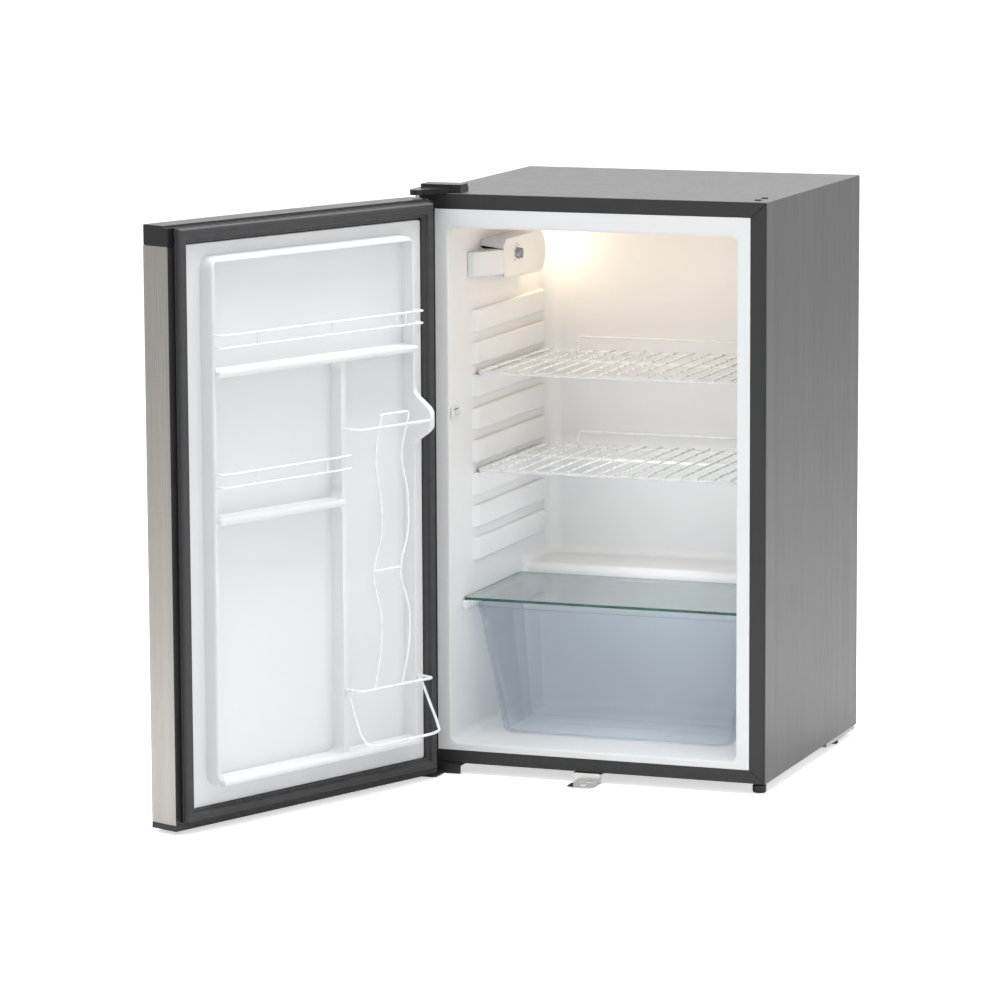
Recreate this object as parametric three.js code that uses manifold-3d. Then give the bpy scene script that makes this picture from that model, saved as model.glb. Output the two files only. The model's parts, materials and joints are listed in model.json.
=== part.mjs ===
import * as THREE from "three";
import { mergeVertices } from "three/addons/utils/BufferGeometryUtils.js";
import Module from "manifold-3d";

// Compact refrigerator, millimetres. X to the right seen from the front, Y to the back, Z up.
// Shapes are written with the front plane at y = 0 and the underside of the case at z = 0.
const caseWidth = 500;
const caseDepth = 443;
const caseHeight = 795;
const sheet = 0.9;
const gap = 0.3;

const frameWidth = 21.8;
const frameDepth = 4;
const frameBottom = 18;
const frameTop = 774;

const cavityHalf = 208;
const cavityFloor = 28;
const cavityCeiling = 748;
const cavityBack = 405;
const linerWall = 1.8;
const humpFront = 295;
const humpTop = 236;

const shelfPitch = 46;
const railCount = 8;
const lowestRail = 302.5;
const railHeight = 32;
const railReach = 7;
const railFront = 88;
const railBack = 383;

const shelfFront = 105;
const shelfBack = 371;
const frameWire = 5;
const slatWire = 3;
const slatCount = 17;
const slatPitch = 24;
const guardRise = 22;

const glassBottom = 221.3;
const glassThickness = 4;
const glassFront = 52;
const glassBack = 280;

const drawerTop = 212;
const drawerBottom = 28.5;
const drawerWall = 2.4;
const drawerHalfTop = 200;
const drawerHalfBottom = 168;
const drawerRangeTop = [73, 285];
const drawerRangeBottom = [92, 239];

const bayFront = 335;
const bayTop = 196;
const trayBottom = -7.5;
const footBottom = -15;

const pivotX = -239;
const pivotY = -32.7;
const doorOpen = 112.4;
const doorHalf = 250;
const doorBottom = -10;
const doorTop = 790;
const doorFace = -59;
const doorInner = -14;
const doorBow = 6;
const topCapHeight = 27;
const bottomCapHeight = 8;
const skinSheet = 0.7;

const ridgeHalf = 195;
const ridgeWidth = 9;
const ridgeReach = 8;
const ledgeReach = 20;
const railReachDoor = 24;
const dividerX = -50;
const ledgeTops = [54, 402, 597];
const ledgeSheet = 9;
const pocketBack = -28;
const pocketSheet = 1.8;
const lockX = -5;
const lockZ = 30;

const wasm = await Module();
wasm.setup();

// Closed solids and their joins and cuts.
const toSolid = (geometry) => {
  const bare = geometry.clone();
  bare.deleteAttribute("normal");
  bare.deleteAttribute("uv");
  const merged = mergeVertices(bare, 1e-4);
  return new wasm.Manifold(new wasm.Mesh({
    numProp: 3,
    vertProperties: new Float32Array(merged.attributes.position.array),
    triVerts: new Uint32Array(merged.index.array),
  }));
};
const toGeometry = (solid) => {
  const { vertProperties, triVerts } = solid.getMesh();
  const geometry = new THREE.BufferGeometry();
  geometry.setAttribute("position", new THREE.BufferAttribute(vertProperties, 3));
  geometry.setIndex(new THREE.BufferAttribute(triVerts, 1));
  geometry.computeVertexNormals();
  return geometry;
};
const combine = (how) => (first, ...rest) =>
  toGeometry(rest.map(toSolid).reduce((whole, solid) => whole[how](solid), toSolid(first)));
const join = combine("add");
const cut = combine("subtract");
const common = combine("intersect");

// Basic forms.
const block = ([x0, x1], [y0, y1], [z0, z1]) =>
  new THREE.BoxGeometry(x1 - x0, y1 - y0, z1 - z0)
    .translate((x0 + x1) / 2, (y0 + y1) / 2, (z0 + z1) / 2);
const outline = (points) => new THREE.Shape(points.map(([x, y]) => new THREE.Vector2(x, y)));
const prism = (shape, depth, curveSegments = 6) =>
  new THREE.ExtrudeGeometry(shape, { depth, bevelEnabled: false, curveSegments });
const prismZ = (shape, z0, z1, curveSegments) =>
  prism(shape, z1 - z0, curveSegments).translate(0, 0, z0);
const prismY = (shape, y0, y1, curveSegments) =>
  prism(shape, y1 - y0, curveSegments).rotateX(Math.PI / 2).translate(0, y1, 0);
const alongX = new THREE.Matrix4().makeBasis(
  new THREE.Vector3(0, 1, 0), new THREE.Vector3(0, 0, 1), new THREE.Vector3(1, 0, 0));
const prismX = (shape, x0, x1, curveSegments) =>
  prism(shape, x1 - x0, curveSegments).applyMatrix4(alongX).translate(x0, 0, 0);
const roundedRect = (x0, x1, y0, y1, radius) => {
  const shape = new THREE.Shape();
  shape.absarc(x1 - radius, y0 + radius, radius, -Math.PI / 2, 0, false);
  shape.absarc(x1 - radius, y1 - radius, radius, 0, Math.PI / 2, false);
  shape.absarc(x0 + radius, y1 - radius, radius, Math.PI / 2, Math.PI, false);
  shape.absarc(x0 + radius, y0 + radius, radius, Math.PI, Math.PI * 1.5, false);
  return shape;
};
const ring = (outer, inner) => {
  outer.holes.push(new THREE.Path(inner.getPoints(6)));
  return outer;
};
const rodZ = (x, y, z0, z1, radius, sides = 24) =>
  new THREE.CylinderGeometry(radius, radius, z1 - z0, sides)
    .rotateX(Math.PI / 2).translate(x, y, (z0 + z1) / 2);
const rodX = (y, z, x0, x1, radius, sides = 24) =>
  new THREE.CylinderGeometry(radius, radius, x1 - x0, sides)
    .rotateZ(Math.PI / 2).translate((x0 + x1) / 2, y, z);
const rodY = (x, z, y0, y1, radius, sides = 24) =>
  new THREE.CylinderGeometry(radius, radius, y1 - y0, sides).translate(x, (y0 + y1) / 2, z);
const turned = (profile, segments = 28) =>
  new THREE.LatheGeometry(profile.map(([r, h]) => new THREE.Vector2(r, h)), segments);

// A path that keeps exactly to its points, so a swept wire spends steps only where it bends.
class PointPath extends THREE.Curve {
  constructor(points) {
    super();
    this.points = points;
  }
  getPoint(t) {
    const at = t * (this.points.length - 1);
    const low = Math.min(Math.floor(at), this.points.length - 2);
    return this.points[low].clone().lerp(this.points[low + 1], at - low);
  }
  getPointAt(t) {
    return this.getPoint(t);
  }
  getTangentAt(t) {
    const at = Math.round(t * (this.points.length - 1));
    const before = this.points[Math.max(at - 1, 0)];
    const after = this.points[Math.min(at + 1, this.points.length - 1)];
    return after.clone().sub(before).normalize();
  }
}
const vectors = (points) => points.map((p) => new THREE.Vector3(...p));
const sweep = (points, diameter, sides = 6) => {
  const section = outline(Array.from({ length: sides }, (_, i) => {
    const angle = (i / sides) * Math.PI * 2;
    return [Math.cos(angle) * diameter / 2, Math.sin(angle) * diameter / 2];
  }));
  return new THREE.ExtrudeGeometry(section, {
    steps: points.length - 1, bevelEnabled: false, extrudePath: new PointPath(points) });
};
const rod = (from, to, diameter) => sweep(vectors([from, to]), diameter);
const bentWire = (points, diameter, bend, sides) => {
  const [first, ...rest] = vectors(points);
  const last = rest.pop();
  const corners = rest.flatMap((corner, i) => {
    const before = i ? rest[i - 1] : first;
    const after = rest[i + 1] ?? last;
    const into = corner.clone().sub(before).setLength(bend);
    const out = after.clone().sub(corner).setLength(bend);
    const start = corner.clone().sub(into);
    const end = corner.clone().add(out);
    const middle = start.clone().add(end).multiplyScalar(0.25).addScaledVector(corner, 0.5);
    return [start, middle, end];
  });
  return sweep([first, ...corners, last], diameter, sides);
};
const softWire = (points, diameter, steps, sides) =>
  sweep(new THREE.CatmullRomCurve3(vectors(points)).getPoints(steps), diameter, sides);

// Scene graph: a fixed cabinet, and a door turned about its own pins.
const group = new THREE.Group();
const cabinet = new THREE.Group();
cabinet.position.y = -caseDepth / 2;
const doorPivot = new THREE.Group();
doorPivot.position.set(pivotX, pivotY, 0);
doorPivot.rotation.z = THREE.MathUtils.degToRad(-doorOpen);
const door = new THREE.Group();
door.position.set(-pivotX, -pivotY, 0);
doorPivot.add(door);
cabinet.add(doorPivot);
group.add(cabinet);

const finishes = {
  greyPaint: { color: 0x808080, roughness: 0.45, metalness: 0.6 },
  blackPaint: { color: 0x1f1f20, roughness: 0.5, metalness: 0.2 },
  stainless: { color: 0xa8a39d, roughness: 0.32, metalness: 1 },
  polished: { color: 0xc9c9c7, roughness: 0.2, metalness: 1 },
  blackPlastic: { color: 0x1b1b1c, roughness: 0.5, metalness: 0 },
  gasketBlack: { color: 0x2b2b2c, roughness: 0.75, metalness: 0 },
  whiteLiner: { color: 0xe9ebec, roughness: 0.35, metalness: 0 },
  whiteCoat: { color: 0xf0f1f2, roughness: 0.4, metalness: 0 },
  clearGlass: { color: 0x9fc7b8, roughness: 0.05, metalness: 0 },
  clearPlastic: { color: 0xb9c9dc, roughness: 0.15, metalness: 0 },
  foam: { color: 0xe0cf9a, roughness: 0.9, metalness: 0 },
  galvanised: { color: 0xa6a9ab, roughness: 0.5, metalness: 0.9 },
  compressorBlack: { color: 0x141415, roughness: 0.4, metalness: 0.3 },
  copper: { color: 0xb4704a, roughness: 0.35, metalness: 1 },
  rubber: { color: 0x202020, roughness: 0.85, metalness: 0 },
  lampGlass: { color: 0xffe2b0, roughness: 0.3, metalness: 0 },
};
const add = (parent, name, finish, geometry, [x, y, z] = [0, 0, 0]) => {
  const mesh = new THREE.Mesh(geometry, new THREE.MeshStandardMaterial(finishes[finish]));
  mesh.name = name;
  mesh.position.set(x, y, z);
  parent.add(mesh);
};

// Case: one folded sheet over both sides and the top, closed behind, below and round the bay.
const half = caseWidth / 2;
const inside = half - sheet - gap;
const insideTop = caseHeight - sheet - gap;
const wrapBend = 1.6;
const wrapLine = (inset) => {
  const edge = half - inset;
  const top = caseHeight - inset;
  const bend = wrapBend - inset;
  const side = [[edge, 0], [edge, top - bend], [edge - 0.3 * bend, top - 0.3 * bend],
    [edge - bend, top]];
  return [...side, ...side.map(([x, z]) => [-x, z]).reverse()];
};
const plugSpots = [[229, 26], [229, 56]];
add(cabinet, "case_wrap", "greyPaint", cut(
  prismY(outline([...wrapLine(0), ...wrapLine(sheet).reverse()]), 0, caseDepth),
  ...plugSpots.map(([x, y]) => rodZ(x, y, caseHeight - 3, caseHeight + 1, 3.3, 16)),
));

// Face frame of four mitred bars round the opening.
const mitre = 0.3;
const opening = inside - frameWidth;
const bars = {
  front_frame_left: [[-inside, mitre], [-opening, frameBottom + mitre],
    [-opening, frameTop - mitre], [-inside, insideTop - mitre]],
  front_frame_right: [[inside, mitre], [inside, insideTop - mitre],
    [opening, frameTop - mitre], [opening, frameBottom + mitre]],
  front_frame_top: [[-inside + mitre, insideTop], [-opening + mitre, frameTop],
    [opening - mitre, frameTop], [inside - mitre, insideTop]],
  front_frame_bottom: [[-inside + mitre, 0], [inside - mitre, 0],
    [opening - mitre, frameBottom], [-opening + mitre, frameBottom]],
};
for (const [name, points] of Object.entries(bars)) {
  add(cabinet, name, "blackPaint", prismY(outline(points), 0, frameDepth));
}

// Tub moulding: rounded box with the compressor step, front flange and shelf rails.
const cavity = (grow, front) => cut(
  common(
    prismY(roundedRect(-cavityHalf - grow, cavityHalf + grow, cavityFloor - grow,
      cavityCeiling + grow, 10 + grow), front, cavityBack + grow, 4),
    prismZ(roundedRect(-cavityHalf - grow, cavityHalf + grow, front - 60,
      cavityBack + grow, 22 + grow), cavityFloor - grow, cavityCeiling + grow, 5),
  ),
  prismX(roundedRect(humpFront + grow, cavityBack + 80, cavityFloor - 80,
    humpTop - grow, 10 - grow), -caseWidth, caseWidth, 4),
);
const switchSpot = { y: 20, z: 490 };
const sides = [-1, 1];
const shelfRails = sides.flatMap((side) => Array.from({ length: railCount }, (_, i) => {
  const top = lowestRail + i * shelfPitch;
  const wall = side * (cavityHalf + 0.5);
  const face = side * (cavityHalf - railReach);
  const plan = [[wall, railFront], [face, railFront + 14], [face, railBack - 10], [wall, railBack]];
  return prismZ(outline(side < 0 ? plan : plan.reverse()), top - railHeight, top);
}));
const glassLedges = sides.map((side) => block(
  side < 0 ? [-cavityHalf - 0.5, -cavityHalf + 6] : [cavityHalf - 6, cavityHalf + 0.5],
  [glassFront - 4, glassBack + 8], [glassBottom - gap - 13, glassBottom - gap]));
const flange = prismY(
  roundedRect(-opening + gap, opening - gap, frameBottom + gap, frameTop - gap, 3), 0.4, 2.2, 3);
const switchHole = rodX(switchSpot.y, switchSpot.z, -cavityHalf - 12, -cavityHalf + 8, 4, 16);
add(cabinet, "inner_liner", "whiteLiner", cut(
  join(cut(join(cavity(linerWall, 0.4), flange), cavity(0, -1)), ...shelfRails, ...glassLedges),
  switchHole,
));

const footSpots = { leveling_foot_left: [-222, 24], leveling_foot_right: [236, 19] };
const foamBack = caseDepth - 3;
add(cabinet, "insulation_foam", "foam", cut(
  block([-inside + gap, inside - gap], [frameDepth + gap, foamBack - gap],
    [1 + gap, insideTop - 4]),
  cavity(linerWall + gap, -1),
  block([-caseWidth, caseWidth], [bayFront - gap, caseDepth], [-1, bayTop + gap]),
  rodX(switchSpot.y, switchSpot.z, -225, -cavityHalf, 7, 16),
  ...Object.values(footSpots).map(([x, y]) => rodZ(x, y, -1, 12, 5, 16)),
));
add(cabinet, "rear_panel", "galvanised",
  block([-inside, inside], [foamBack, foamBack + 1], [bayTop + 2 * gap, insideTop - 4]));
add(cabinet, "base_plate", "galvanised", cut(
  block([-inside, inside], [frameDepth + gap, bayFront - 2], [0, 1]),
  ...Object.values(footSpots).map(([x, y]) => rodZ(x, y, -1, 2, 4.4, 16)),
));
add(cabinet, "bay_cover", "galvanised", join(
  block([-inside, inside], [bayFront, bayFront + 1], [0, bayTop]),
  block([-inside, inside], [bayFront, foamBack], [bayTop - 1, bayTop]),
));

// Compressor bay: tray with a rear lip for the cord gland, compressor on four grommets, pipework.
const trayHalf = 247;
const glandSpot = { x: -170, z: 8 };
add(cabinet, "compressor_tray", "galvanised", cut(
  join(
    block([-trayHalf, trayHalf], [302, caseDepth - 0.5], [trayBottom, trayBottom + 1.5]),
    block([-trayHalf, -trayHalf + 1.5], [302, caseDepth - 0.5], [trayBottom, -gap]),
    block([trayHalf - 1.5, trayHalf], [302, caseDepth - 0.5], [trayBottom, -gap]),
    block([-195, -145], [caseDepth - 6, caseDepth - 4.5], [trayBottom, 20]),
  ),
  rodY(glandSpot.x, glandSpot.z, caseDepth - 10, caseDepth, 6.3, 20),
));
const compressor = { x: -75, y: 389 };
const grommetReach = [[-62, -34], [62, -34], [62, 34], [-62, 34]];
const grommet = turned([[0, 0], [9, 0], [9, 4], [7, 6], [9, 8], [9, 12], [0, 12]], 16)
  .rotateX(Math.PI / 2);
grommetReach.forEach(([dx, dy], i) => add(cabinet, `compressor_grommet_${i + 1}`, "rubber",
  grommet.clone(), [compressor.x + dx, compressor.y + dy, trayBottom + 1.5 + gap]));
const shellBase = trayBottom + 14.1;
add(cabinet, "compressor_shell", "compressorBlack", join(
  turned([[0, 0], [30, 0], [44, 8], [47, 20], [47, 92], [43, 112], [30, 124], [0, 127]], 28)
    .rotateX(Math.PI / 2).translate(0, 0, 1.5),
  prismZ(roundedRect(-72, 72, -44, 44, 10), 0, 2.5, 3),
), [compressor.x, compressor.y, shellBase]);
add(cabinet, "compressor_terminal_box", "blackPlastic",
  block([-26, 18], [-20, 20], [0, 46]), [compressor.x + 73.6, compressor.y, shellBase + 30]);
add(cabinet, "drip_tray", "blackPlastic", cut(
  prismZ(roundedRect(-70, 70, -46, 46, 8), 0, 26, 3),
  prismZ(roundedRect(-68, 68, -44, 44, 6), 2, 27, 3),
), [compressor.x, compressor.y, shellBase + 128.5 + gap]);
add(cabinet, "filter_drier", "copper",
  turned([[0, 0], [3, 0], [3, 8], [9, 16], [9, 74], [3, 82], [3, 90], [0, 90]], 16)
    .rotateX(Math.PI / 2), [120, 400, 50]);
add(cabinet, "discharge_tube", "copper", bentWire([[-122.4, 389, 60], [-166, 389, 60],
  [-166, 430, 70], [-166, 430, 184], [120, 430, 184], [120, 400, 184], [120, 400, 140.4]],
5, 10, 8));
add(cabinet, "suction_tube", "copper", bentWire([[-122.4, 389, 100], [-152, 389, 100],
  [-152, 389, 194.5]], 7, 12, 8));
add(cabinet, "cord_gland", "blackPlastic", cut(
  join(rodY(glandSpot.x, glandSpot.z, caseDepth - 8.6, caseDepth - 1, 6, 20),
    rodY(glandSpot.x, glandSpot.z, caseDepth - 4.2, caseDepth - 1, 9, 20)),
  rodY(glandSpot.x, glandSpot.z, caseDepth - 10, caseDepth, 3.6, 16),
));

// Feet: two turned levelling feet in front, two plain ones under the tray.
const levelingFoot = turned([[0, 0], [8, 0], [9.5, 1.5], [9.5, 10.5], [4, 10.5], [4, 25], [0, 25]],
  20).rotateX(Math.PI / 2);
for (const [name, [x, y]] of Object.entries(footSpots)) {
  add(cabinet, name, "blackPlastic", levelingFoot.clone(), [x, y, footBottom]);
}
const rearFoot = turned([[0, 0], [7, 0], [8, 1], [8, trayBottom - footBottom - gap],
  [0, trayBottom - footBottom - gap]], 20).rotateX(Math.PI / 2);
add(cabinet, "rear_foot_left", "rubber", rearFoot, [-236, 369, footBottom]);
add(cabinet, "rear_foot_right", "rubber", rearFoot.clone(), [236, 369, footBottom]);

// Lamp and thermostat housing on the left wall, and the lamp switch by the front edge.
const wallFace = -cavityHalf + gap;
const lamp = { x: -189.5, z: 690 };
const housingBody = new THREE.Shape();
housingBody.moveTo(136, 660);
housingBody.absarc(268, 690, 30, -Math.PI / 2, Math.PI / 2, false);
housingBody.lineTo(136, 720);
housingBody.lineTo(126, 712);
housingBody.lineTo(126, 668);
const housingNose = outline([[wallFace, 76], [wallFace + 8, 78], [-172, 127], [-172, 132], [wallFace, 132]]);
const knobSpot = { y: 178, z: 697 };
add(cabinet, "thermostat_housing", "whiteLiner", cut(
  join(prismX(housingBody, wallFace, -172, 8),
    prismZ(housingNose, 672, 706)),
  rodY(lamp.x, lamp.z, 250, 302, 16, 20),
  rodX(knobSpot.y, knobSpot.z, -185, -170, 3.3, 16),
));
add(cabinet, "lamp_socket", "blackPlastic",
  rodY(lamp.x, lamp.z, 250.5, 268, 10, 20));
add(cabinet, "lamp_bulb", "lampGlass",
  turned([[0, 0], [7, 0], [7, 8], [12, 22], [13, 34], [11, 47], [6, 56], [0, 58]], 20),
  [lamp.x, 268.4, lamp.z]);
add(cabinet, "thermostat_knob", "galvanised", join(
  rodX(0, 0, 0.4, 8, 8, 20), rodX(0, 0, -10, 1, 3, 12), block([7, 9], [-1, 1], [-7, 7])),
  [-172, knobSpot.y, knobSpot.z]);
add(cabinet, "switch_body", "whiteLiner", cut(
  block([wallFace, -204.5], [switchSpot.y - 14, switchSpot.y + 14],
    [switchSpot.z - 8, switchSpot.z + 8]),
  rodX(switchSpot.y, switchSpot.z, -210, -200, 3.5, 16)));
add(cabinet, "switch_plunger", "whiteCoat",
  rodX(switchSpot.y, switchSpot.z, -215, -197.5, 3, 16));

// Hinges, the spare-hole plugs and the lock strike.
const hingeOutline = (grow) => {
  const shape = new THREE.Shape();
  shape.absarc(pivotX, pivotY, 8 + grow, Math.PI, Math.PI * 2, false);
  shape.lineTo(-208 + grow, 7 - grow);
  shape.lineTo(-193 + grow, 7 - grow);
  shape.lineTo(-193 + grow, 33 + grow);
  shape.lineTo(pivotX - 8 - grow, 33 + grow);
  return shape;
};
const topPlate = caseHeight + gap;
add(cabinet, "top_hinge_bracket", "blackPaint", cut(
  prismZ(hingeOutline(0), topPlate, topPlate + 3),
  rodZ(pivotX, pivotY, caseHeight, caseHeight + 5, 3.3, 20)));
add(cabinet, "top_hinge_pin", "polished", join(
  rodZ(pivotX, pivotY, 778, topPlate + 4, 3, 20),
  rodZ(pivotX, pivotY, topPlate + 3 + gap, topPlate + 4.6, 5, 20)));
add(cabinet, "top_hinge_cover", "blackPlastic", cut(
  join(prismZ(hingeOutline(2.6), topPlate, topPlate + 7.2),
    prismZ(roundedRect(pivotX - 10.6, -190.4, 4.4, 35.6, 3), topPlate, topPlate + 11.5, 3)),
  prismZ(hingeOutline(0.7), topPlate - 1, topPlate + 5.4),
));
plugSpots.forEach(([x, y], i) => add(cabinet, `hinge_hole_plug_${i + 1}`, "blackPlastic",
  turned([[0, 0], [3, 0], [3, 1.3], [5, 1.3], [4.4, 2.6], [0, 2.8]], 16).rotateX(Math.PI / 2),
  [x, y, caseHeight - 1]));
add(cabinet, "bottom_hinge_bracket", "blackPaint", cut(
  join(
    block([-247, -192], [-7, 40], [-3 - gap, -gap]),
    block([-247, -192], [-7, -4], [-14, -gap]),
    prismZ(roundedRect(-247, -215, pivotY - 8, -4, 7), -14, -11, 4),
    rodZ(pivotX, pivotY, -14, 6, 3, 20),
  ),
  rodZ(footSpots.leveling_foot_left[0], footSpots.leveling_foot_left[1], -5, 1, 4.4, 16),
));
add(cabinet, "lock_strike", "polished", cut(
  join(
    block([lockX - 20, lockX + 20], [-7.5, 24], [-1.8, -gap]),
    block([lockX - 20, lockX + 20], [-7.5, -6], [-14.5, -gap]),
    prismZ(roundedRect(lockX - 20, lockX + 20, -42, -6, 12), -14.5, -13, 5),
  ),
  block([lockX - 5, lockX + 5], [-30, -20], [-16, -12]),
));

// Wire shelves: a rectangle of thick wire, a middle cross wire, thin slats and a rear guard.
const wireShelf = () => {
  const side = cavityHalf - 1 - frameWire / 2;
  const centre = frameWire / 2;
  const slatZ = frameWire + slatWire / 2 - 0.5;
  const depth = shelfBack - shelfFront;
  const slats = Array.from({ length: slatCount }, (_, i) => {
    const x = (i - (slatCount - 1) / 2) * slatPitch;
    return rod([x, -1.5, slatZ], [x, depth + 1.5, slatZ], slatWire);
  });
  const guard = bentWire([[-150, depth, centre], [-150, depth, centre + guardRise],
    [150, depth, centre + guardRise], [150, depth, centre]], 3, 5);
  return join(
    rod([-side, 0, centre], [side, 0, centre], frameWire),
    rod([-side, depth, centre], [side, depth, centre], frameWire),
    rod([-side, depth * 0.59, centre], [side, depth * 0.59, centre], frameWire),
    ...sides.map((s) => rod([s * side, -centre, centre], [s * side, depth + centre, centre],
      frameWire)),
    ...slats, guard);
};
const shelfLevels = { wire_shelf_upper: 5, wire_shelf_lower: 2 };
for (const [name, level] of Object.entries(shelfLevels)) {
  add(cabinet, name, "whiteCoat", wireShelf(),
    [0, shelfFront, lowestRail + level * shelfPitch + gap]);
}
add(cabinet, "glass_shelf", "clearGlass", prismZ(
  roundedRect(-cavityHalf + 1, cavityHalf - 1, glassFront, glassBack, 5),
  glassBottom, glassBottom + glassThickness, 3));

// Crisper drawer: walls lean in towards the floor.
const drawerForm = (inset, z0, z1) => {
  const [front, back] = drawerRangeTop;
  const [lowFront, lowBack] = drawerRangeBottom;
  const form = prismZ(roundedRect(-drawerHalfTop + inset, drawerHalfTop - inset,
    front + inset, back - inset, 26 - inset), z0, z1, 5);
  const place = form.attributes.position;
  for (let i = 0; i < place.count; i++) {
    const rise = (place.getZ(i) - drawerBottom) / (drawerTop - drawerBottom);
    const squeezeX = THREE.MathUtils.lerp(drawerHalfBottom / drawerHalfTop, 1, rise);
    const lowY = lowFront + (place.getY(i) - front) * (lowBack - lowFront) / (back - front);
    place.setX(i, place.getX(i) * squeezeX);
    place.setY(i, THREE.MathUtils.lerp(lowY, place.getY(i), rise));
  }
  return form;
};
add(cabinet, "crisper_drawer", "clearPlastic", cut(
  drawerForm(0, drawerBottom, drawerTop),
  drawerForm(drawerWall, drawerBottom + drawerWall, drawerTop + 1)));

// Door, written closed: bowed metal skin between two plastic caps, foam core and inner frame.
const bow = (inset) => Array.from({ length: 17 }, (_, i) => {
  const t = i / 8 - 1;
  return [t * (doorHalf - inset), doorFace + inset - doorBow * (1 - t * t)];
});
const doorPlan = (inset, back) =>
  outline([...bow(inset), [doorHalf - inset, back], [-doorHalf + inset, back]]);
const capTop = doorTop - topCapHeight;
const capBottom = doorBottom + bottomCapHeight;
const lockBore = rodY(lockX, lockZ, -80, -30, 8.4, 20);
const boltBore = block([lockX - 3.4, lockX + 3.4], [-28.4, -21.6], [doorBottom - 1, 14]);
add(door, "door_skin", "stainless", cut(
  prismZ(outline([...bow(0), [doorHalf, doorInner], [doorHalf - skinSheet, doorInner],
    ...bow(skinSheet).reverse(), [-doorHalf + skinSheet, doorInner], [-doorHalf, doorInner]]),
  capBottom + gap, capTop - gap), lockBore));
// The hand pull is a pocket in the cap's front with a lip above it; the inner edge of the top is a low step.
const pullPocket = prismX(outline([[-70, doorTop - 23], [-48, doorTop - 23], [-42, doorTop - 16],
  [-44, doorTop - 5], [-56, doorTop - 5], [-58, doorTop - 9], [-70, doorTop - 9]]), -95, 95);
const capStep = block([-260, 260], [-21, doorInner + 1], [doorTop - 2.5, doorTop + 1]);
add(door, "door_top_cap", "blackPlastic", cut(
  prismZ(doorPlan(0, doorInner), capTop, doorTop), pullPocket, capStep,
  rodZ(pivotX, pivotY, 775, doorTop + 1, 6.3, 20)));
add(door, "door_bush_top", "whiteCoat", cut(
  rodZ(pivotX, pivotY, 775.3, doorTop + 1.2, 6, 20),
  rodZ(pivotX, pivotY, 777.4, doorTop + 2, 3.3, 20)));
add(door, "door_bottom_cap", "blackPlastic", cut(
  prismZ(doorPlan(0, doorInner), doorBottom, capBottom), boltBore,
  rodZ(pivotX, pivotY, doorBottom - 1, capBottom + 1, 3.4, 20)));
// The four compartments of the liner are sunk into the foam; each is [x0, x1, z0, z1].
const [bottomTop, middleTop, upperTop] = ledgeTops;
const pockets = [
  [-ridgeHalf + ridgeWidth, ridgeHalf - ridgeWidth, upperTop, 739],
  [dividerX + 4, ridgeHalf - ridgeWidth, middleTop, upperTop - ledgeSheet],
  [dividerX + 4, ridgeHalf - ridgeWidth, bottomTop, middleTop - ledgeSheet],
  [-ridgeHalf + ridgeWidth, dividerX - 4, bottomTop, upperTop - ledgeSheet],
];
const sunk = (grow, back, front) => pockets.map(([x0, x1, z0, z1]) =>
  prismY(roundedRect(x0 - grow, x1 + grow, z0 - grow, z1 + grow, 10 + grow), back, front, 5));
add(door, "door_foam", "foam", cut(
  prismZ(doorPlan(skinSheet + gap, doorInner - 3 - gap), capBottom + gap, capTop - gap),
  ...sunk(pocketSheet + gap, pocketBack - pocketSheet - gap, doorInner),
  lockBore, boltBore, rodZ(pivotX, pivotY, -5, 8, 3.6, 16)));
add(door, "door_inner_frame", "blackPlastic", prismY(
  ring(roundedRect(-249, 249, capBottom + gap, capTop - gap, 2),
    roundedRect(-223, 223, 16, capTop - 1.5, 2)), doorInner - 3, doorInner, 3));
const linerPlate = prismY(roundedRect(-222.6, 222.6, 16.4, capTop - 1.9, 2),
  doorInner - 1.6, doorInner + 1.6, 3);

// Door tub moulding: a ridge round it, three ledges, the divider and the bottle-bar ear.
const ridge = prismY(ring(roundedRect(-ridgeHalf, ridgeHalf, 42, 748, 14),
  roundedRect(-ridgeHalf + ridgeWidth, ridgeHalf - ridgeWidth, 42 + ridgeWidth,
    748 - ridgeWidth, 8)), doorInner, ridgeReach, 4);
const ledge = (x0, x1, top) =>
  block([x0, x1], [doorInner, ledgeReach], [top - ledgeSheet, top]);
const ear = prismX(outline([[ridgeReach - 2, 466], [40, 486], [40, 508], [ridgeReach - 2, 528]]),
  -ridgeHalf + 1, -ridgeHalf + ridgeWidth);
const linerRelief = join(linerPlate, ridge, ...sunk(pocketSheet, pocketBack - pocketSheet, doorInner),
  ledge(-ridgeHalf + 4, ridgeHalf - 4, upperTop), ledge(dividerX, ridgeHalf - 4, middleTop),
  ledge(-ridgeHalf + 4, ridgeHalf - 4, bottomTop), ear,
  block([dividerX - 4, dividerX + 4], [doorInner, 6], [bottomTop - 8, upperTop - 4]));
add(door, "door_liner", "whiteLiner", cut(linerRelief, ...sunk(0, pocketBack, doorInner + 2)));
add(door, "door_gasket", "gasketBlack", prismY(
  ring(roundedRect(-239, 239, 0.5, 785, 3), roundedRect(-223, 223, 17, 762.6, 3)),
  doorInner + gap + 1.6, -gap, 3));

// Bin rails: two bent wires joined by short uprights.
const binRail = (x0, x1, foot0, foot1, heights, uprights) => join(
  ...heights.map((z) => bentWire([[x0, foot0, z], [x0, railReachDoor, z],
    [x1, railReachDoor, z], [x1, foot1, z]], 3, 5)),
  ...uprights.map((x) => rod([x, railReachDoor, heights[0] - 1], [x, railReachDoor, heights[1] + 1],
    3)));
add(door, "bin_rail_upper", "whiteCoat", binRail(-190.5, 190.5, ridgeReach + gap,
  ridgeReach + gap, [628, 644.5], [-155, -137.5, -15, 124.5]));
add(door, "bin_rail_lower", "whiteCoat", binRail(dividerX, 190.5, 6 + gap,
  ridgeReach + gap, [444, 461.5], [-2, 126]));

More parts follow.
